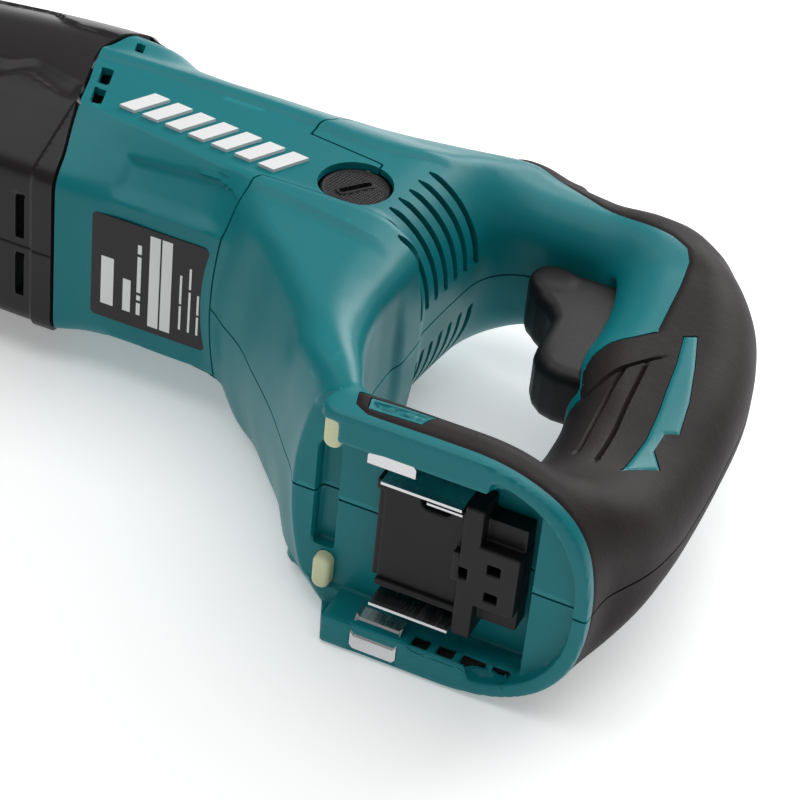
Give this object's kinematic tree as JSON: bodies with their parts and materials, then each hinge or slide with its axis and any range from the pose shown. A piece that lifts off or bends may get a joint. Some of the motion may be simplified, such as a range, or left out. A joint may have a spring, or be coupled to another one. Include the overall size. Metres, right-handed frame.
{
  "type": "reciprocating saw",
  "caption": "Cordless reciprocating saw lying on its right side: teal motor casing, D-shaped rear handle, slide-on battery foot, black boot, tilting shoe and straight blade.",
  "frame": {"origin": "centre of the bounding box in plan, on the surface that the saw's right side rests on", "axes": "+X from the blade towards the rear grip, +Y from the battery foot towards the top of the saw, +Z out of the saw's left side"},
  "size_m": [0.5938, 0.1662, 0.08],
  "materials": {
    "teal_plastic": "fine spark-eroded texture, satin",
    "black_elastomer": "soft moulded elastomer with a fine grain",
    "black_plastic": "satin glass-filled nylon",
    "cream_rubber": "matt cream rubber",
    "seal_rubber": "matt",
    "steel": "machined steel",
    "bright_steel": "bright plated or ground steel",
    "cast_aluminium": "die cast, satin",
    "bronze": "sintered bronze",
    "copper": "turned copper",
    "ferrite": "dark ferrite",
    "carbon": "matt carbon",
    "label_foil": "satin printed foil"
  },
  "bodies": {
    "root": {"motor_housing": "teal_plastic", "handle_left": "teal_plastic", "handle_right": "teal_plastic", "grip_cover_left": "black_elastomer", "grip_cover_right": "black_elastomer", "boot_cover": "black_elastomer", "gear_housing": "cast_aluminium", "bearing_bracket": "cast_aluminium", "motor_can": "steel", "magnet_upper": "ferrite", "magnet_lower": "ferrite", "brush_cap_left": "black_plastic", "brush_cap_right": "black_plastic", "carbon_brush_left": "carbon", "carbon_brush_right": "carbon", "brush_spring_left": "steel", "brush_spring_right": "steel", "switch_body": "black_plastic", "terminal_block": "black_plastic", "terminal_positive": "bright_steel", "terminal_negative": "bright_steel", "terminal_signal": "bright_steel", "rail_plate_left": "bright_steel", "rail_plate_right": "bright_steel", "foot_bumper_left": "cream_rubber", "foot_bumper_right": "cream_rubber", "name_plate": "label_foil", "plunger_bush": "bronze", "plunger_seal": "seal_rubber", "slide_guide_left": "steel", "slide_guide_right": "steel", "crank_bearing": "steel", "motor_bearing_front": "steel", "motor_bearing_rear": "steel", "handle_screw_1": "steel", "handle_screw_2": "steel", "handle_screw_3": "steel", "handle_screw_4": "steel", "handle_screw_5": "steel"},
    "armature": {"armature_core": "steel", "motor_shaft": "steel", "commutator": "copper", "cooling_fan": "black_plastic", "pinion": "steel"},
    "crank": {"crank_gear": "steel", "crank_spindle": "steel", "crank_pin": "steel"},
    "plunger": {"plunger_yoke": "steel", "plunger_rod": "bright_steel", "blade_clamp": "steel", "saw_blade": "bright_steel"},
    "clamp_collar": {"clamp_sleeve": "steel"},
    "shoe_slide": {"shoe_slide_bar": "steel", "shoe_pivot_pin": "steel"},
    "shoe": {"shoe_plate": "steel"},
    "lock_button": {"shoe_lock_button": "black_plastic"},
    "trigger": {"trigger": "black_plastic"}
  },
  "joints": [
    {"name": "motor_spin", "type": "hinge", "parent": "root", "child": "armature", "pos_m": [0.1249, 0.0191, 0.04], "axis": [1, 0, 0], "continuous": true},
    {"name": "crank_spin", "type": "hinge", "parent": "root", "child": "crank", "pos_m": [0.0189, 0.0181, 0.04], "axis": [0, 1, 0], "continuous": true},
    {"name": "plunger_stroke", "type": "slide", "parent": "root", "child": "plunger", "axis": [-1, 0, 0], "range_m": [-0.016, 0.016]},
    {"name": "clamp_turn", "type": "hinge", "parent": "plunger", "child": "clamp_collar", "pos_m": [-0.1551, 0.0421, 0.04], "axis": [1, 0, 0], "range_deg": [0, 70], "stiffness_Nm_per_rad": 0.05},
    {"name": "shoe_reach", "type": "slide", "parent": "root", "child": "shoe_slide", "axis": [-1, 0, 0], "range_m": [0, 0.03]},
    {"name": "shoe_tilt", "type": "hinge", "parent": "shoe_slide", "child": "shoe", "pos_m": [-0.1731, 0.0151, 0.04], "axis": [0, 0, 1], "range_deg": [-20, 20]},
    {"name": "shoe_lock_press", "type": "slide", "parent": "root", "child": "lock_button", "axis": [0, 0, -1], "range_m": [0, 0.003], "stiffness_N_per_m": 400},
    {"name": "trigger_pull", "type": "slide", "parent": "root", "child": "trigger", "axis": [1, 0, 0], "range_m": [0, 0.005], "stiffness_N_per_m": 500}
  ],
  "couplings": [
    {"joint": "crank_spin", "follows": "motor_spin", "ratio": -0.25}
  ]
}
